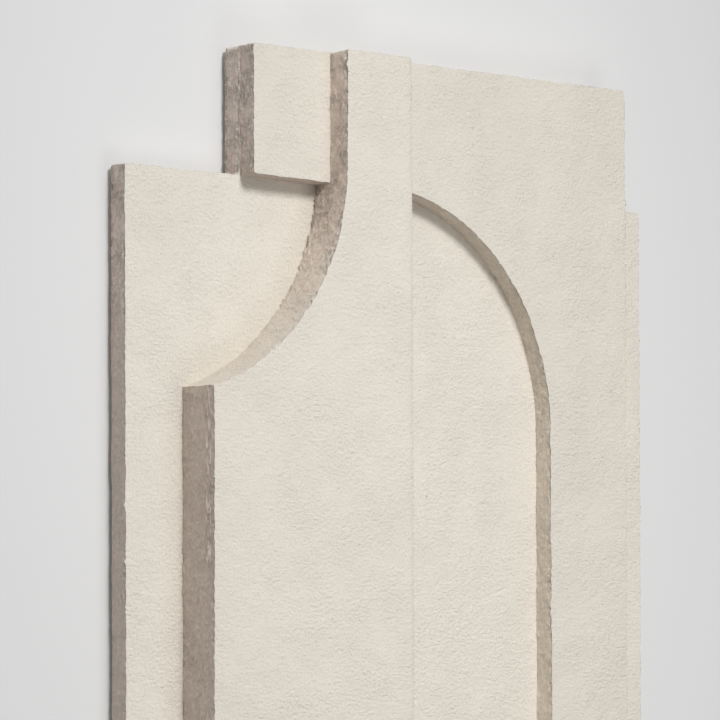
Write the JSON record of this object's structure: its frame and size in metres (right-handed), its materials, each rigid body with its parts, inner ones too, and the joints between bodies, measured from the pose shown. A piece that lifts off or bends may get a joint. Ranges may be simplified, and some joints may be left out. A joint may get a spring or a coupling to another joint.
{
  "type": "wall relief",
  "caption": "Abstract wall relief of layered paper-pulp boards, with a thick neck panel that spreads through a hollow shoulder beside a panel cut with a round arch.",
  "frame": {"origin": "middle of the flat back, on the plane that lies on the floor or meets the wall", "axes": "+X to the right across the relief, +Y up the relief as it hangs, +Z out of its face"},
  "size_m": [0.6, 0.9, 0.065],
  "materials": {
    "pulp": "matt, pressed paper pulp with a grainy, fibrous skin"
  },
  "bodies": {
    "root": {"back_board": "pulp", "corner_block": "pulp", "neck_panel": "pulp", "arch_panel": "pulp"}
  },
  "joints": []
}
